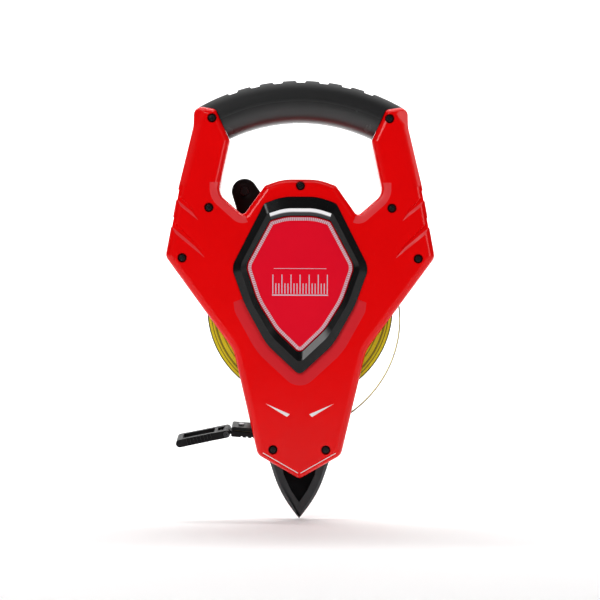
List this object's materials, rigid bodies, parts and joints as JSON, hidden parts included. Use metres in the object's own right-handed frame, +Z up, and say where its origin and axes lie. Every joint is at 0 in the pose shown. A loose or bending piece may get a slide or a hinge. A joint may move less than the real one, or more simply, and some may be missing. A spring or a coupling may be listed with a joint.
{
  "type": "open reel tape measure",
  "caption": "Open reel long tape measure with a red two-shell frame, black grip, rear crank, yellow tape, folding end ring and ground spike.",
  "frame": {"origin": "tip of the ground spike, on the parting plane of the two shells", "axes": "+Z up through the middle of the grip, +X to the right when the badge is seen from the front, -Y out of the front"},
  "size_m": [0.1828, 0.0805, 0.3002],
  "materials": {
    "shell_red": "glossy moulded plastic, slightly matter on the ramps",
    "grip_black": "soft black rubber, matter on its upper half",
    "gloss_black": "smooth black plastic",
    "satin_black": "satin black plastic",
    "chrome": "bright plated strip",
    "badge_red": "printed plate with a silver border",
    "tape_yellow": "coated fibreglass tape, olive at its edges",
    "steel": "plain turned steel",
    "blued_steel": "dark coated steel",
    "screw_black": "black oxide screw",
    "bush_white": "white bearing plastic"
  },
  "bodies": {
    "frame": {"front_shell": "shell_red", "rear_shell": "shell_red", "grip": "grip_black", "handle_core": "satin_black", "bezel": "gloss_black", "badge": "badge_red", "bezel_trim": "chrome", "spike": "blued_steel", "front_bush": "bush_white", "rear_bush": "bush_white", "upper_roller_pin": "steel", "lower_roller_pin": "steel", "screw_arm_left": "screw_black", "screw_arm_right": "screw_black", "screw_crown": "screw_black", "screw_shoulder_left": "screw_black", "screw_shoulder_right": "screw_black", "screw_wing_left": "screw_black", "screw_wing_right": "screw_black", "screw_spike_left": "screw_black", "screw_spike_right": "screw_black", "tape_tail": "tape_yellow", "clamp_upper": "satin_black", "clamp_lower": "satin_black", "clamp_rivet_front": "steel", "clamp_rivet_back": "steel", "hinge_pin": "blued_steel"},
    "reel": {"drum": "satin_black", "tape_anchor_pin": "steel", "tape_roll": "tape_yellow", "crank": "satin_black", "crank_washer": "steel", "crank_screw": "screw_black", "knob_pin": "screw_black"},
    "crank_knob": {"knob": "satin_black", "knob_cap": "satin_black"},
    "end_ring": {"pull_ring": "satin_black"},
    "upper_guide": {"upper_roller": "bush_white"},
    "lower_guide": {"lower_roller": "bush_white"}
  },
  "joints": [
    {"name": "reel_spin", "type": "hinge", "parent": "frame", "child": "reel", "pos_m": [0, 0, 0.144], "axis": [0, 1, 0], "continuous": true},
    {"name": "knob_spin", "type": "hinge", "parent": "reel", "child": "crank_knob", "pos_m": [-0.03896, 0.04, 0.22513], "axis": [0, 1, 0], "continuous": true},
    {"name": "ring_swing", "type": "hinge", "parent": "frame", "child": "end_ring", "pos_m": [-0.0498, 0, 0.0595], "axis": [0.016, 0.9781, 0.2073], "range_deg": [-77, 100]},
    {"name": "upper_roller_spin", "type": "hinge", "parent": "frame", "child": "upper_guide", "pos_m": [0.0126, 0, 0.0654], "axis": [0, 1, 0], "continuous": true},
    {"name": "lower_roller_spin", "type": "hinge", "parent": "frame", "child": "lower_guide", "pos_m": [-0.003, 0, 0.0554], "axis": [0, 1, 0], "continuous": true}
  ]
}
